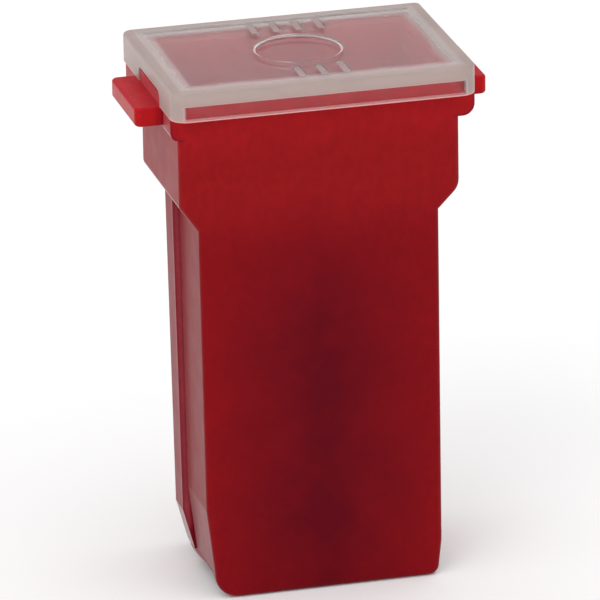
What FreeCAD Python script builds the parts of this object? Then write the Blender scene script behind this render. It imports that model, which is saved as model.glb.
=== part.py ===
import FreeCAD, Part
import os
import re

import Sketcher
from FreeCAD import Vector

# Cartridge fuse with two female sockets, millimetres.
# Origin: centre of the open bottom.  +Z runs up to the clear cover, X runs along the cover's long side
# (ears on both ends) and -Y is the flat front.  Left is -X: the housing is keyed, so its two ends differ.

SIZES = {
    # clear cover
    "cover_width": 15.0, "cover_depth": 10.6, "cover_base": 25.06, "cover_top": 26.5,
    "cover_front_corner": 0.8, "cover_left_corner": 0.5, "cover_right_corner": 0.32,
    "cover_edge": 0.16, "cover_plate": 0.6, "skirt_wall": 0.5, "notch_front": 2.5, "notch_back": 1.7,
    "notch_height": 0.74, "notch_round": 0.35,
    "window_bore": 4.4, "window_sink": 0.14,
    "bar_length": 1.5, "bar_width": 0.42, "bar_step": 1.1, "bar_row": 3.45, "bar_sink": 0.07,
    # housing, upper end
    "housing_depth": 8.0, "collar_width": 13.9, "collar_depth": 9.5, "collar_height": 0.7,
    "collar_corner": 0.4, "flange_back": 5.1, "flange_left": 7.35, "flange_left_base": 23.75,
    "flange_left_round": 0.4, "flange_right": 7.67, "flange_right_base": 23.62,
    "flange_right_round": 0.6, "ear_width": 17.4, "ear_length": 5.2, "ear_base": 24.12,
    "ear_round": 0.34, "ear_rim": 0.15, "lug_width": 14.9, "lug_gap": 0.1, "lug_height": 0.6,
    "head_left": 6.93, "head_right": 6.92, "head_left_base": 20.25, "head_right_base": 20.0,
    "head_left_round": 0.35, "head_right_round": 0.9, "crease": 18.95,
    # housing, lower body
    "front_left": 6.03, "front_right": 5.88, "left_draft": 0.1, "left_lead": 0.38, "left_lead_top": 4.6,
    "left_lead_foot": 1.25, "right_lead": 0.2, "right_lead_top": 1.8, "foot_left": 1.15, "foot_right": 0.5,
    "back_reach": 5.2, "back_foot": 0.9, "back_lead_top": 1.8, "rib_reach": 6.4, "rib_low_reach": 6.22,
    "rib_front": 0.0, "rib_back": 1.45, "rib_root": 5.66, "rib_foot": 1.2, "rib_low": 3.3,
    "front_edge_round": 0.32, "back_edge_round": 0.15,
    # housing, inside
    "long_wall": 0.6, "partition": 0.6, "chamber_reach": 4.5, "key_reach": 5.15, "key_back": 0.25,
    "key_top": 18.0, "cavity_width": 12.3, "ledge": 20.3, "relief": 1.17, "relief_crest": 2.0,
    "relief_back": 0.66, "relief_root": 2.0,
    # terminals
    "tab_pitch": 7.0, "tab_thickness": 0.8, "strip": 0.4, "terminal_width": 6.2, "terminal_foot": 1.3,
    "inner_leg": 0.5, "bridge": 16.0, "shelf_reach": 5.9, "bend": 0.35, "foot_neck": 0.7,
    "boss_bore": 1.2, "boss_level": 14.4, "boss_height": 0.28,
    # contact springs
    "leaf": 0.3, "leaf_width": 5.4, "root_level": 12.5, "root_top": 15.6, "contact_level": 6.0,
    "contact_reach": 3.4, "tail_level": 1.7, "tail_reach": 1.9, "leaf_bend": 0.5, "root_hole": 1.7,
    # link and pellet
    "link_sheet": 0.3, "link_width": 3.2, "link_top": 23.4, "riser": 4.1,
    "link_bend": 0.28, "slot_width": 0.7, "slot_place": 1.35, "slot_reach": 0.55,
    "pellet_bore": 0.9, "pellet_width": 1.7, "pellet_head": 0.4,
}

doc = FreeCAD.newDocument("cartridge_fuse")
sheet = doc.addObject("Spreadsheet::Sheet", "Sizes")
for row, (alias, number) in enumerate(SIZES.items(), start=1):
    sheet.set("A%d" % row, alias.replace("_", " "))
    sheet.set("B%d" % row, str(number))
    sheet.setAlias("B%d" % row, alias)
doc.recompute()


def bound(formula):
    """A formula of size names, written as an expression on the sheet's cells."""
    return re.sub(r"[a-z]+(_[a-z]+)*", lambda word: "Sizes." + word.group(), formula)


def size(formula):
    return float(sheet.evalExpression(bound(formula)))


def new_body(name):
    body = doc.addObject("PartDesign::Body", name)
    body.Label = name
    return body


def attached_sketch(body, name, role, offset):
    """An empty sketch on an origin plane of the body, moved along the plane's normal by offset."""
    plane = next(item for item in body.Origin.OriginFeatures if item.Role == role)
    sketch = body.newObject("Sketcher::SketchObject", name)
    sketch.AttachmentSupport = [(plane, "")]
    sketch.MapMode = "FlatFace"
    sketch.setExpression("AttachmentOffset.Base.z", bound(offset))
    return sketch


def bind(sketch, kind, place, formula):
    index = sketch.addConstraint(Sketcher.Constraint(kind, *place, size(formula)))
    sketch.setExpression("Constraints[%d]" % index, bound(formula))


def outline(body, name, role, offset, corners):
    """A closed straight-sided outline whose corners are pairs of formulas."""
    sketch = attached_sketch(body, name, role, offset)
    points = [Vector(size(across), size(up), 0) for across, up in corners]
    count = len(points)
    for index in range(count):
        sketch.addGeometry(Part.LineSegment(points[index], points[(index + 1) % count]), False)
    for index in range(count):
        sketch.addConstraint(Sketcher.Constraint("Coincident", index, 2, (index + 1) % count, 1))
    for index, (across, up) in enumerate(corners):
        bind(sketch, "DistanceX", (-1, 1, index, 1), across)
        bind(sketch, "DistanceY", (-1, 1, index, 1), up)
    return sketch


def box_outline(body, name, role, offset, low, high):
    """A rectangle between two opposite corners."""
    corners = [(low[0], low[1]), (high[0], low[1]), (high[0], high[1]), (low[0], high[1])]
    return outline(body, name, role, offset, corners)


def discs(body, name, role, offset, centres, radius):
    """One circle at each centre, all of one radius."""
    sketch = attached_sketch(body, name, role, offset)
    for index, (across, up) in enumerate(centres):
        centre = Vector(size(across), size(up), 0)
        sketch.addGeometry(Part.Circle(centre, Vector(0, 0, 1), size(radius)), False)
        bind(sketch, "DistanceX", (-1, 1, index, 3), across)
        bind(sketch, "DistanceY", (-1, 1, index, 3), up)
        bind(sketch, "Radius", (index,), radius)
    return sketch


def pad(body, sketch, length):
    """Adds material along the sketch's normal."""
    feature = body.newObject("PartDesign::Pad", sketch.Name + "_pad")
    feature.Profile = sketch
    feature.setExpression("Length", bound(length))
    doc.recompute()


def pocket(body, sketch, length):
    """Takes material away against the sketch's normal, and makes sure that some went."""
    before = body.Shape.Volume
    feature = body.newObject("PartDesign::Pocket", sketch.Name + "_pocket")
    feature.Profile = sketch
    feature.setExpression("Length", bound(length))
    doc.recompute()
    assert body.Shape.Volume < before - 1e-6, sketch.Name + " cuts nothing"


def runs_along(edge, axis):
    """True for a straight edge along 0 = X, 1 = Y or 2 = Z."""
    if edge.Curve.TypeId != "Part::GeomLine":
        return False
    return abs(edge.Curve.Direction[axis]) > 0.999


def round_edges(body, name, radius, chosen):
    """Fillets every edge of the body's present shape that chosen(edge, middle) accepts."""
    edges = body.Shape.Edges
    names = ["Edge%d" % number for number, edge in enumerate(edges, start=1)
             if chosen(edge, edge.CenterOfMass)]
    assert names, name + " finds no edge"
    base = body.Tip
    feature = body.newObject("PartDesign::Fillet", name)
    feature.Base = (base, names)
    feature.setExpression("Radius", bound(radius))
    doc.recompute()
    assert feature.isValid(), name + " fails"


def near(number, formula):
    return abs(number - size(formula)) < 0.02


def at_any(middle, places):
    """True if an edge's middle is at one of the places, given by distance from the middle and height."""
    return any(near(abs(middle.x), across) and near(middle.z, up) for across, up in places)


def mirrored_corners(right_half):
    """The whole outline from its right half, listed bottom to top."""
    left_half = [("-(%s)" % across, up) for across, up in reversed(right_half)]
    return right_half + left_half


def underside(side, reach):
    """Height of the head's sloping underside at a distance from the middle, on one side."""
    return ("head_{0}_base - (head_{0}_base - crease) / (head_{0} - front_{0}) * (head_{0} - {1})"
            .format(side, reach))


def build_housing():
    """Moulded housing: open below and above, with a wall between the two terminal chambers."""
    body = new_body("housing")
    head_corners = [("head_right", "head_right_base"), ("-head_left", "head_left_base")]

    # The front part of the lower body, wider than the back part, with two different ends.
    left_foot = "front_left - left_draft - left_lead"
    right_foot = "front_right - right_lead"
    front = outline(body, "front_part", "XZ_Plane", "-rib_back", [
        (right_foot, "0"), ("front_right", "right_lead_top"), ("front_right", "crease"), *head_corners,
        ("-front_left", "crease"), ("-(front_left - left_draft)", "left_lead_top"),
        ("-(%s)" % left_foot, "left_lead_foot"), ("-(%s)" % left_foot, "0")])
    pad(body, front, "rib_back + housing_depth / 2")
    for side, name, foot in ((-1, "foot_left", left_foot), (1, "foot_right", right_foot)):
        round_edges(body, name + "_round", name, lambda edge, middle: (
            runs_along(edge, 1) and near(middle.z, "0") and near(middle.x * side, foot)))

    # The back part, and the head above both.
    back = outline(body, "back_part", "XZ_Plane", "-housing_depth / 2", [
        ("back_reach - back_foot", "0"), ("back_reach", "back_lead_top"),
        ("back_reach", underside("right", "back_reach")), *head_corners,
        ("-back_reach", underside("left", "back_reach")), ("-back_reach", "back_lead_top"),
        ("-(back_reach - back_foot)", "0")])
    pad(body, back, "housing_depth / 2 - rib_back")
    head = outline(body, "head", "XZ_Plane", "-housing_depth / 2", [
        *head_corners, ("-head_left", "cover_base"), ("head_right", "cover_base")])
    pad(body, head, "housing_depth")
    for side, name in ((-1, "head_left"), (1, "head_right")):
        round_edges(body, name + "_shoulder", name + "_round", lambda edge, middle: (
            runs_along(edge, 1) and near(middle.z, name + "_base") and near(middle.x * side, name)))

    # A drafted guide rib on each narrow side, running out at its foot.
    rib = outline(body, "guide_rib", "XZ_Plane", "-rib_back", [
        ("rib_root", "rib_foot"), ("rib_low_reach", "rib_low"),
        ("rib_reach", underside("right", "rib_reach")), ("-rib_reach", underside("left", "rib_reach")),
        ("-rib_low_reach", "rib_low"), ("-rib_root", "rib_foot")])
    pad(body, rib, "rib_back - rib_front")

    # End flanges that the cover stands on, and the ears on them.
    flange = outline(body, "flange", "XZ_Plane", "-flange_back", [
        ("flange_right", "flange_right_base"), ("flange_right", "cover_base"),
        ("-flange_left", "cover_base"), ("-flange_left", "flange_left_base"), ("0", "flange_left_base"),
        ("0", "flange_right_base")])
    pad(body, flange, "flange_back + housing_depth / 2")
    for side, name in ((-1, "flange_left"), (1, "flange_right")):
        round_edges(body, name + "_underside", name + "_round", lambda edge, middle: (
            runs_along(edge, 1) and near(middle.z, name + "_base") and near(middle.x * side, name)))
    ears = box_outline(body, "ears", "XY_Plane", "ear_base",
                       ("-ear_width / 2", "-ear_length / 2"), ("ear_width / 2", "ear_length / 2"))
    pad(body, ears, "cover_base - ear_base")
    round_edges(body, "ear_corners", "ear_round", lambda edge, middle: (
        runs_along(edge, 2) and near(abs(middle.x), "ear_width / 2")))
    round_edges(body, "ear_rims", "ear_rim", lambda edge, middle: (
        abs(middle.x) > size("ear_width / 2 - ear_round") and not runs_along(edge, 2)))

    # The collar inside the cover's skirt, and the lug that fills the notch above each ear.
    collar = box_outline(body, "collar", "XY_Plane", "cover_base",
                         ("-collar_width / 2", "-collar_depth / 2"),
                         ("collar_width / 2", "collar_depth / 2"))
    pad(body, collar, "collar_height")
    round_edges(body, "collar_corners", "collar_corner", lambda edge, middle: (
        runs_along(edge, 2) and near(abs(middle.x), "collar_width / 2")))
    lugs = box_outline(body, "lugs", "XY_Plane", "cover_base",
                       ("-lug_width / 2", "-(notch_front - lug_gap)"),
                       ("lug_width / 2", "notch_back - lug_gap"))
    pad(body, lugs, "lug_height")

    # Upright edges at the front and the back.
    for side, name in ((-1, "front_edge"), (1, "back_edge")):
        round_edges(body, name + "s", name + "_round", lambda edge, middle: (
            near(middle.y * side, "housing_depth / 2") and middle.z < size("flange_right_base")
            and abs(middle.x) > size("back_reach - back_foot")))

    # Inside: the link's cavity, two terminal chambers with a key slot each, and the rim's lead-in.
    inner = "(housing_depth / 2 - long_wall)"
    cavity = box_outline(body, "link_cavity", "XY_Plane", "cover_base + collar_height",
                         ("-cavity_width / 2", "-" + inner), ("cavity_width / 2", inner))
    pocket(body, cavity, "cover_base + collar_height - ledge")
    for side, sign in (("left", "-"), ("right", "")):
        chamber = box_outline(body, side + "_chamber", "XY_Plane", "ledge",
                              (sign + "partition / 2", "-" + inner), (sign + "chamber_reach", inner))
        pocket(body, chamber, "ledge")
        key = box_outline(body, side + "_key", "XY_Plane", "key_top",
                          (sign + "chamber_reach", "-" + inner), (sign + "key_reach", "key_back"))
        pocket(body, key, "key_top")
    # The end walls and the back corners stop short of the bottom, which the front wall reaches.
    for side, plane, length in (("left", "-relief_root", "head_right"),
                                ("right", "head_right", "head_right - relief_root")):
        arch = outline(body, side + "_relief", "YZ_Plane", plane, [
            ("-" + inner, "0"), ("housing_depth", "0"), ("housing_depth", "relief_back"),
            ("rib_back", "relief_back"), ("-relief_crest", "relief"), ("-" + inner, "relief")])
        pocket(body, arch, length)
    return body


def build_cover():
    """Clear cap: a plate with a skirt, notched over the ears, with a round sight window."""
    body = new_body("clear_cover")
    plate = box_outline(body, "cap_block", "XY_Plane", "cover_base",
                        ("-cover_width / 2", "-cover_depth / 2"), ("cover_width / 2", "cover_depth / 2"))
    pad(body, plate, "cover_top - cover_base")
    for place, chosen in (("front", lambda at: at.y < 0), ("left", lambda at: at.x < 0 < at.y),
                          ("right", lambda at: at.x > 0 and at.y > 0)):
        radius = "cover_%s_corner" % place
        round_edges(body, radius + "s", radius, lambda edge, middle: (
            runs_along(edge, 2) and chosen(middle) and near(abs(middle.y), "cover_depth / 2")))
    round_edges(body, "cap_top_edge", "cover_edge", lambda edge, middle: near(middle.z, "cover_top"))
    inside = box_outline(body, "cap_inside", "XY_Plane", "cover_top - cover_plate",
                         ("-(cover_width / 2 - skirt_wall)", "-(cover_depth / 2 - skirt_wall)"),
                         ("cover_width / 2 - skirt_wall", "cover_depth / 2 - skirt_wall"))
    pocket(body, inside, "cover_top - cover_plate")
    notch = box_outline(body, "cap_notches", "XY_Plane", "cover_base + notch_height",
                        ("-cover_width", "-notch_front"), ("cover_width", "notch_back"))
    pocket(body, notch, "cover_base + notch_height")
    round_edges(body, "notch_corners", "notch_round", lambda edge, middle: (
        runs_along(edge, 0) and near(middle.z, "cover_base + notch_height")
        and (near(middle.y, "notch_back") or near(middle.y, "-notch_front"))))
    window = discs(body, "window", "XY_Plane", "cover_top", [("0", "0")], "window_bore / 2")
    pocket(body, window, "window_sink")
    # Two rows of plain bars stand where a maker puts its marks.
    for row, sign, count in (("back", "", 4), ("front", "-", 3)):
        for place in range(count):
            middle = "(%s * bar_step)" % (place - (count - 1) / 2 + 0.25)
            bar = box_outline(body, "%s_bar_%d" % (row, place + 1), "XY_Plane", "cover_top",
                              (middle + " - bar_width / 2", sign + "bar_row - bar_length / 2"),
                              (middle + " + bar_width / 2", sign + "bar_row + bar_length / 2"))
            pocket(body, bar, "bar_sink")
    return body


def build_terminal(name, sign):
    """Bent strip: shelf on the ledge, outer plate, bridge and inner leg around one tab."""
    body = new_body(name)
    plate = "tab_pitch / 2 + tab_thickness / 2"
    corners = [
        (plate, "terminal_foot"), (plate + " + strip", "terminal_foot"), (plate + " + strip", "ledge"),
        ("shelf_reach", "ledge"), ("shelf_reach", "ledge + strip"), (plate, "ledge + strip"),
        (plate, "bridge + strip"), ("inner_leg", "bridge + strip"), ("inner_leg", "terminal_foot"),
        ("inner_leg + strip", "terminal_foot"), ("inner_leg + strip", "bridge"), (plate, "bridge")]
    profile = outline(body, name + "_strip", "XZ_Plane", "-terminal_width / 2",
                      [("%s(%s)" % (sign, across), up) for across, up in corners])
    pad(body, profile, "terminal_width")
    round_edges(body, name + "_bends", "bend", lambda edge, middle: runs_along(edge, 1) and at_any(middle, [
        ("inner_leg", "bridge + strip"), (plate, "ledge + strip"), ("inner_leg + strip", "bridge")]))
    # The feet are narrowed so that they find their way past the mouth of the chamber.
    round_edges(body, name + "_feet", "foot_neck", lambda edge, middle: (
        runs_along(edge, 0) and near(middle.z, "terminal_foot")
        and near(abs(middle.y), "terminal_width / 2")))
    # A half-sheared boss on the inner leg carries the contact spring's root.
    face = "inner_leg + strip" if sign == "" else "-(inner_leg + strip + boss_height)"
    boss = discs(body, name + "_boss", "YZ_Plane", face, [("0", "boss_level")], "boss_bore / 2")
    pad(body, boss, "boss_height")
    return body


def build_contact_spring(name, sign):
    """Leaf spring: a root on the inner leg, a bow towards the outer plate and a lead-in tail."""
    body = new_body(name)
    root = "inner_leg + strip"
    path = [(root, "root_top"), (root, "root_level"), ("contact_reach - leaf", "contact_level"),
            ("tail_reach - leaf", "tail_level")]
    corners = path + [(across + " + leaf", up) for across, up in reversed(path)]
    profile = outline(body, name + "_strip", "XZ_Plane", "-leaf_width / 2",
                      [("%s(%s)" % (sign, across), up) for across, up in corners])
    pad(body, profile, "leaf_width")
    bends = [(across, up) for across, up in corners if up in ("root_level", "contact_level")]
    round_edges(body, name + "_bends", "leaf_bend", lambda edge, middle: (
        runs_along(edge, 1) and at_any(middle, bends)))
    face = root + " + leaf" if sign == "" else "-(%s)" % root
    hole = discs(body, name + "_hole", "YZ_Plane", face, [("0", "boss_level")], "root_hole / 2")
    pocket(body, hole, "leaf")
    return body


def build_link():
    """Fuse link: a sheet bridge from shelf to shelf, slotted from both sides into a narrow S."""
    body = new_body("fuse_link")
    shelf = "ledge + strip"
    bridge = mirrored_corners([
        ("riser", "link_top - link_sheet"), ("riser", shelf), ("shelf_reach", shelf),
        ("shelf_reach", shelf + " + link_sheet"), ("riser + link_sheet", shelf + " + link_sheet"),
        ("riser + link_sheet", "link_top")])
    profile = outline(body, "link_strip", "XZ_Plane", "-link_width / 2", bridge)
    pad(body, profile, "link_width")
    round_edges(body, "link_bends", "link_bend", lambda edge, middle: (
        runs_along(edge, 1) and near(middle.z, "link_top")))
    for sign, other in (("", "-"), ("-", "")):
        slot = box_outline(body, "slot_" + ("right" if sign == "" else "left"), "XY_Plane", "link_top",
                           (sign + "slot_place - slot_width / 2", other + "slot_reach"),
                           (sign + "slot_place + slot_width / 2", sign + "link_width"))
        pocket(body, slot, "link_sheet")
    hole = discs(body, "pellet_hole", "XY_Plane", "link_top", [("0", "0")], "pellet_bore / 2")
    pocket(body, hole, "link_sheet")
    return body


def build_pellet():
    """Tin pellet staked through the middle of the link, with a head on each face."""
    body = new_body("tin_pellet")
    under, over = "link_top - link_sheet - pellet_head", "link_top + pellet_head"
    section = outline(body, "pellet_section", "XZ_Plane", "0", [
        ("0", under), ("pellet_width / 2", under), ("pellet_width / 2", "link_top - link_sheet"),
        ("pellet_bore / 2", "link_top - link_sheet"), ("pellet_bore / 2", "link_top"),
        ("pellet_width / 2", "link_top"), ("pellet_width / 2", over), ("0", over)])
    turned = body.newObject("PartDesign::Revolution", "pellet_turned")
    turned.Profile = section
    turned.ReferenceAxis = (section, ["V_Axis"])
    turned.Angle = 360
    doc.recompute()
    round_edges(body, "pellet_heads", "pellet_head / 2", lambda edge, middle: (
        near(edge.BoundBox.XLength, "pellet_width") and (near(middle.z, over) or near(middle.z, under))))
    return body


parts = [
    build_housing(), build_cover(),
    build_terminal("left_terminal", "-"), build_terminal("right_terminal", ""),
    build_contact_spring("left_contact_spring", "-"), build_contact_spring("right_contact_spring", ""),
    build_link(), build_pellet(),
]

doc.recompute()
for item in doc.Objects:
    assert not {"Invalid", "Error"} & set(item.State), "%s: %s" % (item.Name, item.State)
os.makedirs("parts", exist_ok=True)
for part in parts:
    shape = part.Shape
    assert not shape.isNull() and shape.isValid() and len(shape.Solids) == 1, part.Label
    shape.exportStep("parts/%s.step" % part.Label)
    box = shape.BoundBox
    print("%-22s %9.3f mm3  x %6.2f %6.2f  y %6.2f %6.2f  z %6.2f %6.2f" % (
        part.Label, shape.Volume, box.XMin, box.XMax, box.YMin, box.YMax, box.ZMin, box.ZMax))
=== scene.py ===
import math

import bpy
from mathutils import Matrix, Vector


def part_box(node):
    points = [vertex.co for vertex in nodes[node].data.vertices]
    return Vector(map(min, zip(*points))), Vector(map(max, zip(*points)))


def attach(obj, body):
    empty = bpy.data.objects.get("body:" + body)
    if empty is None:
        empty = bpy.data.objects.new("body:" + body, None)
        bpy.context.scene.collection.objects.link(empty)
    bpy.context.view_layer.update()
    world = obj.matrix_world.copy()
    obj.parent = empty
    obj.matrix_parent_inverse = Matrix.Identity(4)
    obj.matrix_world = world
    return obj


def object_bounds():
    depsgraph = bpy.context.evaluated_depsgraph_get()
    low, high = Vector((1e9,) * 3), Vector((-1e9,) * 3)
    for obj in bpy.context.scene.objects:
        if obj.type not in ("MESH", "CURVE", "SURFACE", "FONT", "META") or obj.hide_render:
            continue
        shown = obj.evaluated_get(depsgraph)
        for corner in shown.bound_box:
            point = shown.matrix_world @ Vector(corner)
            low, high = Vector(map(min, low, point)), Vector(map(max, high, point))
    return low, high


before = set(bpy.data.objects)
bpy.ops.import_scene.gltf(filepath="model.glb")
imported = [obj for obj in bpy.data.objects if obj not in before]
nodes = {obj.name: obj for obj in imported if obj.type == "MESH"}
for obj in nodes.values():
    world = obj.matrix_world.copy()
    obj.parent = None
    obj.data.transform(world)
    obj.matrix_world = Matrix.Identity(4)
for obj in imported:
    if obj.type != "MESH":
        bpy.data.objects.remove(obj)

MM = 0.001
cad_low, cad_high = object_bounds()

# Reds of the housing, with painted light and shade: painted light in the cavity, under the cover, on the ears
# and from the flange down to the painted shade of the deep middle, then painted shade along edges and painted
# light on the ribs' front faces.
CAVITY_LIGHT_RED = (0.68, 0.015, 0.05)
COVER_LIGHT_RED = (0.5, 0.01, 0.02)
EAR_LIGHT_RED = (0.46, 0.008, 0.01)
LIT_RED = (0.37, 0.008, 0.011)
HEAD_HALF_LIGHT_RED = (0.275, 0.006, 0.008)
LOW_SHADE_RED = (0.222, 0.003, 0.006)
DEEP_SHADE_AND_MOTTLE_RED = (0.105, 0.001, 0.006)
EDGE_SHADE_RED = (0.14, 0.002, 0.018)
RIB_LIGHT_RED = (0.36, 0.05, 0.065)

# Where the housing's painted light and shade change, each from one place to another: heights above its foot,
# and distances from its middle planes.
LOW_TO_HEAD = (17 * MM, 21 * MM)
HEAD_TO_FLANGE = (22 * MM, 25 * MM)
DEEP_ACROSS = (0.3 * MM, 5.8 * MM)
DEEP_UP = (11 * MM, 22 * MM)
DEEP_FOOT = (0.5 * MM, 4 * MM)
RIB_ROOT = (5.6 * MM, 5.9 * MM)
RIB_FRONT = (-0.1 * MM, -0.03 * MM)
RIB_BEHIND = (0.1 * MM, 0.3 * MM)
RIB_TOP = (19 * MM, 20 * MM)
EAR_ROOT = (7.68 * MM, 7.75 * MM)
COVER_BASE = (24.9 * MM, 25.1 * MM)
CAVITY_SIDE_X = (6.16 * MM, 6.2 * MM)
CAVITY_SIDE_Y = (3.41 * MM, 3.45 * MM)
CAVITY_FLOOR = (20 * MM, 22 * MM)
EDGE_RADIUS = 0.3 * MM
EDGE_SHADE_STRENGTH = 0.55

# The cover's plastic, and where it turns milky, with painted reflection and highlight: heights above the
# cover's base, distances in from its sides.
CLEAR = (0.99, 0.97, 0.97)
MILK_AND_RED_GLOW = (0.52, 0.41, 0.38)
FOOT_HIGHLIGHT = (0.85, 0.44, 0.43)
PLATE_BASE = (0.72 * MM, 0.82 * MM)
BORDER_INSET = (0.15 * MM, 1.6 * MM)
END_INSET = (0.45 * MM, 0.7 * MM)
FOOT_HEIGHT = (0.03 * MM, 0.09 * MM)
WINDOW_RIM = (2.0 * MM, 2.2 * MM)

# Fine reliefs on the cover: a ring on the sunk window, and plain bars in the sunk slots around it.
WINDOW_SINK = 0.14 * MM
RING_RADIUS = 2.12 * MM
RING_HALF_WIDTH = 0.07 * MM
RING_HEIGHT = 0.09 * MM
BAR_SINK = 0.07 * MM
BAR_WIDTH = 0.4 * MM
BAR_LENGTH = 1.48 * MM
BAR_HEIGHT = 0.065 * MM
BAR_STEP = 1.1 * MM
BAR_ROW = 3.45 * MM
BAR_SHIFT = 0.25 * BAR_STEP

# The studio: sky strengths all round and low down behind, the key lamp, the floor and the camera.
SKY = 1.06
BACKDROP = 0.6
KEY_OFFSET = Vector((-0.25, -0.3, 0.4))
KEY_WIDTH = 0.3
KEY_POWER = 0.4
FLOOR_HALF = 1.5
CAMERA = {"target": Vector((-0.12, 0, 13.59)) * MM, "azimuth": math.radians(-14.34),
          "elevation": math.radians(20.07), "roll": math.radians(-0.99),
          "distance": 351.5 * MM, "lens": 433.0}

# How far a rounded normal turns from the face's own before it counts as an edge, and the usual range of a
# noise node's values.
EDGE_COSINES = (0.9, 0.985)
NOISE_RANGE = (0.3, 0.7)


# ---------------------------------------------------------------- materials

class Shader:
    """A material's node tree with short ways to add and join nodes."""

    def __init__(self, name):
        self.material = bpy.data.materials.new(name)
        self.material.use_nodes = True
        self.tree = self.material.node_tree
        self.surface = self.tree.nodes["Principled BSDF"]
        self.place = self.node("ShaderNodeTexCoord").outputs["Object"]

    def node(self, kind, **settings):
        made = self.tree.nodes.new(kind)
        for key, value in settings.items():
            setattr(made, key, value)
        return made

    def link(self, source, target):
        self.tree.links.new(source, target)

    def drive(self, name, value):
        """Joins a value to the surface's socket of that name."""
        self.link(value, self.surface.inputs[name])

    def set(self, **values):
        for key, value in values.items():
            self.surface.inputs[key.replace("_", " ")].default_value = value

    def noise(self, scale, detail=3.0, rough=0.5, stretch=(1, 1, 1)):
        """Noise with a grain of 1/scale metres; an axis with a stretch under 1 has a longer grain."""
        mapping = self.node("ShaderNodeMapping")
        mapping.inputs["Scale"].default_value = stretch
        self.link(self.place, mapping.inputs["Vector"])
        noise = self.node("ShaderNodeTexNoise")
        noise.inputs["Scale"].default_value = scale
        noise.inputs["Detail"].default_value = detail
        noise.inputs["Roughness"].default_value = rough
        self.link(mapping.outputs["Vector"], noise.inputs["Vector"])
        return noise.outputs["Fac"]

    def spread(self, value, low, high, to_low=0.0, to_high=1.0):
        """Maps low..high smoothly to to_low..to_high."""
        node = self.node("ShaderNodeMapRange", interpolation_type="SMOOTHSTEP")
        self.link(value, node.inputs["Value"])
        node.inputs["From Min"].default_value = low
        node.inputs["From Max"].default_value = high
        node.inputs["To Min"].default_value = to_low
        node.inputs["To Max"].default_value = to_high
        return node.outputs["Result"]

    def ramp(self, value, low, high, to_low=0.0, to_high=1.0):
        """Maps low..high straight to to_low..to_high."""
        made = self.spread(value, low, high, to_low, to_high)
        made.node.interpolation_type = "LINEAR"
        return made

    def fade(self, value, low, high):
        """1 below low and 0 above high."""
        return self.spread(value, low, high, 1.0, 0.0)

    def cloud(self, noise, to_low=0.0, to_high=1.0):
        """A noise's usual range mapped to to_low..to_high."""
        return self.spread(noise, *NOISE_RANGE, to_low, to_high)

    def maths(self, operation, first, second=None):
        """A maths node on one or two values, each a number or an output."""
        node = self.node("ShaderNodeMath", operation=operation)
        for socket, value in zip(node.inputs, (first, second)):
            if isinstance(value, (int, float)):
                socket.default_value = value
            elif value is not None:
                self.link(value, socket)
        return node.outputs[0]

    def product(self, first, *others):
        for other in others:
            first = self.maths("MULTIPLY", first, other)
        return first

    def largest(self, first, *others):
        for other in others:
            first = self.maths("MAXIMUM", first, other)
        return first

    def axis(self, name):
        split = self.node("ShaderNodeSeparateXYZ")
        self.link(self.place, split.inputs[0])
        return split.outputs[name]

    def from_plane(self, name):
        """Distance along the axis from the middle plane."""
        return self.maths("ABSOLUTE", self.axis(name))

    def from_middle(self):
        """Distance from the object's upright middle line."""
        flat = self.node("ShaderNodeCombineXYZ")
        for name in ("X", "Y"):
            self.link(self.axis(name), flat.inputs[name])
        length = self.node("ShaderNodeVectorMath", operation="LENGTH")
        self.link(flat.outputs["Vector"], length.inputs[0])
        return length.outputs["Value"]

    def blend(self, factor, first, second):
        """A colour that goes from first to second with factor."""
        mix = self.node("ShaderNodeMix", data_type="RGBA")
        self.link(factor, mix.inputs["Factor"])
        for socket, colour in ((mix.inputs["A"], first), (mix.inputs["B"], second)):
            if isinstance(colour, tuple):
                socket.default_value = (*colour, 1)
            else:
                self.link(colour, socket)
        return mix.outputs["Result"]

    def edges(self, radius):
        """1 on a rounded or sharp edge of about the radius, 0 on flat faces."""
        bevel = self.node("ShaderNodeBevel", samples=6)
        bevel.inputs["Radius"].default_value = radius
        dot = self.node("ShaderNodeVectorMath", operation="DOT_PRODUCT")
        self.link(bevel.outputs["Normal"], dot.inputs[0])
        self.link(self.node("ShaderNodeNewGeometry").outputs["Normal"], dot.inputs[1])
        return self.fade(dot.outputs["Value"], *EDGE_COSINES)

    def bump(self, height, strength, depth):
        node = self.node("ShaderNodeBump")
        node.inputs["Strength"].default_value = strength
        node.inputs["Distance"].default_value = depth
        self.link(height, node.inputs["Height"])
        self.link(node.outputs["Normal"], self.surface.inputs["Normal"])


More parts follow.
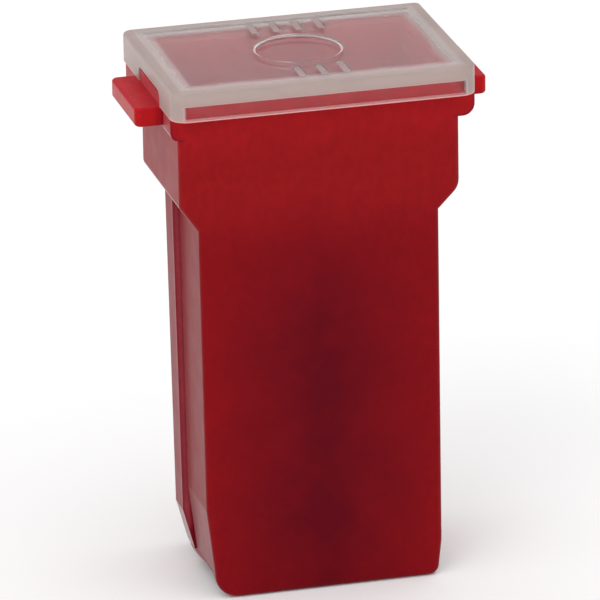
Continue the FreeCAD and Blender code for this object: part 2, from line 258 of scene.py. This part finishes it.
def red_plastic():
    """Red moulding that lets a little light in, with that light painted into its colour: painted light
    brightest under the clear cover, round the cavity and on the ears, painted shade deepest in the middle,
    where the terminals stand behind the wall, painted shade along the edges, and painted light on the ribs'
    front faces."""
    shader = Shader("red_plastic")
    cloud = shader.cloud(shader.noise(scale=260), -0.3 * MM, 0.3 * MM)
    across = shader.maths("ADD", shader.from_plane("X"), cloud)
    height = shader.maths("ADD", shader.axis("Z"), cloud)

    # Painted light and shade: the red is painted darker low down and lighter up to the flange, for light
    # entering from the top.
    colour = shader.blend(shader.spread(height, *LOW_TO_HEAD), LOW_SHADE_RED, HEAD_HALF_LIGHT_RED)
    colour = shader.blend(shader.spread(height, *HEAD_TO_FLANGE), colour, LIT_RED)
    # Painted shade: the middle is painted deep red where the terminals stand behind the wall, less so near
    # the foot.
    painted_deep_shade = shader.product(shader.ramp(across, *DEEP_ACROSS, 1.0, 0.0),
                          shader.fade(height, *DEEP_UP),
                          shader.cloud(shader.noise(scale=420, detail=6, rough=0.65), 0.8, 1.2),
                          shader.spread(height, *DEEP_FOOT, 0.75, 1.0))
    colour = shader.blend(painted_deep_shade, colour, DEEP_SHADE_AND_MOTTLE_RED)

    # Painted light: the ribs' front faces, which stand in shade, are painted paler.
    painted_rib_light = shader.product(shader.spread(across, *RIB_ROOT),
                           shader.spread(shader.axis("Y"), *RIB_FRONT),
                           shader.fade(shader.axis("Y"), *RIB_BEHIND),
                           shader.fade(height, *RIB_TOP))
    colour = shader.blend(painted_rib_light, colour, RIB_LIGHT_RED)
    # Painted light: the ears are painted lighter than the head below them.
    painted_ear_light = shader.spread(shader.from_plane("X"), *EAR_ROOT)
    colour = shader.blend(painted_ear_light, colour, EAR_LIGHT_RED)
    # Painted shade: rounded edges are painted darker and more magenta.
    painted_edge_shade = shader.maths("MULTIPLY", shader.edges(EDGE_RADIUS), EDGE_SHADE_STRENGTH)
    colour = shader.blend(painted_edge_shade, colour, EDGE_SHADE_RED)

    # Painted light: the red under the clear cover is painted brighter, for the light that comes through it.
    painted_cover_light = shader.spread(shader.axis("Z"), *COVER_BASE)
    colour = shader.blend(painted_cover_light, colour, COVER_LIGHT_RED)
    # Painted light: the cavity is painted the brightest red, for the light that reaches it through the cover.
    painted_cavity_light = shader.product(shader.fade(shader.from_plane("X"), *CAVITY_SIDE_X),
                            shader.fade(shader.from_plane("Y"), *CAVITY_SIDE_Y),
                            shader.spread(shader.axis("Z"), *CAVITY_FLOOR))
    colour = shader.blend(painted_cavity_light, colour, CAVITY_LIGHT_RED)
    mottle = shader.noise(scale=2200, detail=6, rough=0.75, stretch=(1, 1, 0.7))
    colour = shader.blend(shader.spread(mottle, 0.35, 0.65, 0.0, 0.2), colour, DEEP_SHADE_AND_MOTTLE_RED)

    shader.drive("Base Color", colour)
    shader.drive("Roughness", shader.cloud(shader.noise(scale=900, detail=4), 0.36, 0.44))
    shader.set(Specular_IOR_Level=0.055, Specular_Tint=(1.0, 0.95, 0.95, 1),
               Sheen_Weight=1.0, Sheen_Roughness=0.2, Sheen_Tint=(0.92, 0.97, 0.98, 1))
    shader.bump(shader.noise(scale=5000, detail=2), strength=0.15, depth=0.02 * MM)
    return shader.material


def clear_plastic():
    """Clear moulding of the cover, milky round the plate's border and at both ends, with a painted reflection
    of the red below in that milk and a painted highlight along the bottom edge, with a fine frost all over
    but in the window.  Lamps shine through it onto the red below."""
    shader = Shader("clear_plastic")
    low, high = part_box("clear_cover")
    cloud = shader.cloud(shader.noise(scale=300), -0.08 * MM, 0.08 * MM)
    from_end = shader.maths("SUBTRACT", high.x, shader.from_plane("X"))
    from_side = shader.maths("SUBTRACT", high.y, shader.from_plane("Y"))
    inset = shader.maths("ADD", shader.maths("MINIMUM", from_end, from_side), cloud)
    height = shader.maths("SUBTRACT", shader.axis("Z"), low.z)

    border = shader.product(shader.spread(height, *PLATE_BASE),
                            shader.fade(inset, *BORDER_INSET))
    ends = shader.fade(from_end, *END_INSET)
    # Painted highlight: a pale line along the skirt's bottom edge, where it catches the light.
    painted_foot_highlight = shader.fade(height, *FOOT_HEIGHT)
    grain = shader.noise(scale=3500, detail=5, rough=0.7)
    frost = shader.product(shader.spread(grain, 0.42, 0.62, 0.0, 0.11),
                           shader.spread(shader.from_middle(), *WINDOW_RIM))
    milk = shader.largest(border, ends, painted_foot_highlight, frost)

    # The milk is partly the plastic's own haze and partly a painted reflection of the red housing, in its
    # pink.
    colour = shader.blend(milk, CLEAR, MILK_AND_RED_GLOW)
    shader.drive("Base Color", shader.blend(painted_foot_highlight, colour, FOOT_HIGHLIGHT))
    shader.drive("Transmission Weight", shader.spread(milk, 0, 1, 0.99, 0.35))
    shader.drive("Roughness", shader.spread(milk, 0, 1, 0.14, 0.4))
    shader.set(IOR=1.45, Specular_Tint=(0.35, 0.33, 0.34, 1))
    shader.bump(shader.noise(scale=4500, rough=0.6), strength=0.25, depth=0.012 * MM)

    mix = shader.node("ShaderNodeMixShader")
    shader.link(shader.node("ShaderNodeLightPath").outputs["Is Shadow Ray"], mix.inputs[0])
    shader.link(shader.surface.outputs[0], mix.inputs[1])
    shader.link(shader.node("ShaderNodeBsdfTransparent").outputs[0], mix.inputs[2])
    shader.link(mix.outputs[0], shader.tree.nodes["Material Output"].inputs["Surface"])
    return shader.material


def metal(name, colour, dark, rough, grain, stretch):
    """Plated or rolled sheet metal, its grain stretched along the strip; grain is spots per metre."""
    shader = Shader(name)
    noise = shader.noise(scale=grain, detail=4, rough=0.6, stretch=stretch)
    shader.drive("Base Color", shader.blend(shader.cloud(noise), dark, colour))
    shader.drive("Roughness", shader.cloud(noise, rough + 0.1, rough))
    shader.set(Metallic=1.0)
    shader.bump(noise, strength=0.15, depth=0.01 * MM)
    return shader.material


def wear(node, material):
    """Puts one material on every face of a carried-over CAD part."""
    mesh = nodes[node].data
    mesh.materials.clear()
    mesh.materials.append(material)


red = red_plastic()
clear = clear_plastic()
tinned = metal("tinned_copper", colour=(0.78, 0.77, 0.74), dark=(0.6, 0.59, 0.56),
               rough=0.32, grain=1500, stretch=(1, 1, 0.2))
sprung = metal("spring_steel", colour=(0.62, 0.62, 0.61), dark=(0.45, 0.45, 0.46),
               rough=0.25, grain=2500, stretch=(1, 1, 0.08))
copper = metal("link_alloy", colour=(0.8, 0.5, 0.34), dark=(0.72, 0.43, 0.28),
               rough=0.26, grain=7000, stretch=(0.06, 1, 1))
tin = metal("tin", colour=(0.82, 0.82, 0.82), dark=(0.62, 0.62, 0.64),
            rough=0.38, grain=1400, stretch=(1, 1, 1))
wear("housing", red)
wear("clear_cover", clear)
for side in ("left", "right"):
    wear(side + "_terminal", tinned)
    wear(side + "_contact_spring", sprung)
wear("fuse_link", copper)
wear("tin_pellet", tin)


# ---------------------------------------------------------------- cover details

def solid(name, vertices, faces, material):
    """A smooth-shaded piece that rides on the cover."""
    mesh = bpy.data.meshes.new(name)
    mesh.from_pydata(vertices, [], faces)
    mesh.polygons.foreach_set("use_smooth", [True] * len(mesh.polygons))
    mesh.materials.append(material)
    piece = bpy.data.objects.new(name, mesh)
    bpy.context.collection.objects.link(piece)
    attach(piece, "cover")
    return piece


def ring_bead(name, radius, half_width, floor, height, material):
    """A half-round bead standing on floor round the middle of the plate."""
    turns, steps = 96, 8
    vertices, faces = [], []
    for turn in range(turns):
        angle = 2 * math.pi * turn / turns
        for step in range(steps + 1):
            lean = math.pi * step / steps
            reach = radius - half_width * math.cos(lean)
            vertices.append((reach * math.cos(angle), reach * math.sin(angle),
                             floor + height * math.sin(lean)))
    count = steps + 1
    for turn in range(turns):
        here, there = turn * count, (turn + 1) % turns * count
        for step in range(count):
            onward = (step + 1) % count
            faces.append((here + step, there + step, there + onward, here + onward))
    return solid(name, vertices, faces, material)


def pillow_bars(name, centres, width, length, floor, height, material):
    """Plain bars with rounded ends and domed tops, standing on floor."""
    around, rings = 40, 6
    vertices, faces = [], []
    for centre_x, centre_y in centres:
        first = len(vertices)
        for ring in range(rings):
            lean = 0.5 * math.pi * ring / rings
            for point in range(around):
                angle = 2 * math.pi * point / around
                across = math.copysign(abs(math.cos(angle)) ** 0.5, math.cos(angle))
                along = math.copysign(abs(math.sin(angle)) ** 0.5, math.sin(angle))
                inset = (1 - math.cos(lean)) * width / 2
                vertices.append((centre_x + across * (width / 2 - inset),
                                 centre_y + along * (length / 2 - inset),
                                 floor + height * math.sin(lean)))
        vertices.append((centre_x, centre_y, floor + height))
        for ring in range(rings - 1):
            for point in range(around):
                onward = (point + 1) % around
                here, there = first + ring * around, first + (ring + 1) * around
                faces.append((here + point, here + onward, there + onward, there + point))
        last = first + (rings - 1) * around
        for point in range(around):
            faces.append((last + point, last + (point + 1) % around, first + rings * around))
        faces.append(tuple(first + point for point in reversed(range(around))))
    return solid(name, vertices, faces, material)


def milky_plastic():
    """The cover's plastic where it stands up from the plate and catches the light."""
    shader = Shader("milky_plastic")
    cloud = shader.cloud(shader.noise(scale=900))
    shader.drive("Base Color", shader.blend(cloud, (0.66, 0.46, 0.46), (0.76, 0.56, 0.56)))
    shader.drive("Roughness", shader.spread(cloud, 0, 1, 0.35, 0.45))
    shader.set(Transmission_Weight=0.5, IOR=1.25, Specular_IOR_Level=0.3)
    return shader.material


milky = milky_plastic()
plate_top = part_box("clear_cover")[1].z
ring_bead("window_ring", RING_RADIUS, RING_HALF_WIDTH, plate_top - WINDOW_SINK, RING_HEIGHT, milky)
for row, side, count in (("back", 1, 4), ("front", -1, 3)):
    first = BAR_SHIFT - (count - 1) / 2 * BAR_STEP
    centres = [(first + place * BAR_STEP, side * BAR_ROW) for place in range(count)]
    pillow_bars(row + "_bars", centres, BAR_WIDTH, BAR_LENGTH, plate_top - BAR_SINK, BAR_HEIGHT, milky)


# ---------------------------------------------------------------- studio

def make_floor():
    """A plain pale floor under the object."""
    mesh = bpy.data.meshes.new("floor")
    corners = [(x * FLOOR_HALF, y * FLOOR_HALF, 0) for x, y in ((-1, -1), (1, -1), (1, 1), (-1, 1))]
    mesh.from_pydata(corners, [], [(0, 1, 2, 3)])
    floor = bpy.data.objects.new("floor", mesh)
    bpy.context.collection.objects.link(floor)
    shader = Shader("pale_floor")
    shader.set(Base_Color=(0.97, 0.97, 0.97, 1), Roughness=0.9, Specular_IOR_Level=0.0)
    mesh.materials.append(shader.material)


def make_sky(strength, backdrop):
    """White light from all round, which falls to backdrop low down behind the object."""
    world = bpy.data.worlds.new("studio")
    world.use_nodes = True
    tree = world.node_tree
    split = tree.nodes.new("ShaderNodeSeparateXYZ")
    tree.links.new(tree.nodes.new("ShaderNodeTexCoord").outputs["Generated"], split.inputs[0])
    behind, level = tree.nodes.new("ShaderNodeMapRange"), tree.nodes.new("ShaderNodeMapRange")
    for node, axis, start, end, first, last in ((behind, "Y", 0.1, 0.5, 0.0, strength - backdrop),
                                                (level, "Z", 0.4, 0.7, 1.0, 0.0)):
        node.interpolation_type = "SMOOTHSTEP"
        tree.links.new(split.outputs[axis], node.inputs["Value"])
        for socket, value in (("From Min", start), ("From Max", end), ("To Min", first), ("To Max", last)):
            node.inputs[socket].default_value = value
    loss, left = tree.nodes.new("ShaderNodeMath"), tree.nodes.new("ShaderNodeMath")
    loss.operation, left.operation = "MULTIPLY", "SUBTRACT"
    tree.links.new(behind.outputs["Result"], loss.inputs[0])
    tree.links.new(level.outputs["Result"], loss.inputs[1])
    left.inputs[0].default_value = strength
    tree.links.new(loss.outputs[0], left.inputs[1])
    sky = tree.nodes["Background"]
    sky.inputs["Color"].default_value = (1, 1, 1, 1)
    tree.links.new(left.outputs[0], sky.inputs["Strength"])
    bpy.context.scene.world = world


def make_soft_box(name, place, target, width, power):
    """A round lamp of some width at place that faces target."""
    light = bpy.data.lights.new(name, "AREA")
    light.shape = "DISK"
    light.size = width
    light.energy = power
    box = bpy.data.objects.new(name, light)
    box.location = place
    box.rotation_mode = "QUATERNION"
    box.rotation_quaternion = (target - place).to_track_quat("-Z", "Y")
    bpy.context.collection.objects.link(box)


def make_camera(target, azimuth, elevation, roll, distance, lens):
    """A long lens looking at target; azimuth 0 looks along +Y, and roll turns the picture clockwise."""
    away = Vector((math.sin(azimuth) * math.cos(elevation), -math.cos(azimuth) * math.cos(elevation),
                   math.sin(elevation)))
    data = bpy.data.cameras.new("camera")
    data.lens = lens
    data.clip_start = distance / 10
    data.clip_end = distance * 10
    camera = bpy.data.objects.new("camera", data)
    turn = (-away).to_track_quat("-Z", "Y").to_matrix() @ Matrix.Rotation(roll, 3, "Z")
    camera.matrix_world = Matrix.Translation(target + away * distance) @ turn.to_4x4()
    bpy.context.collection.objects.link(camera)
    bpy.context.scene.camera = camera


make_floor()
make_sky(SKY, BACKDROP)
middle = (cad_low + cad_high) / 2
make_soft_box("key", middle + KEY_OFFSET, middle, KEY_WIDTH, KEY_POWER)
make_camera(**CAMERA)
bpy.context.scene.view_settings.view_transform = "Standard"
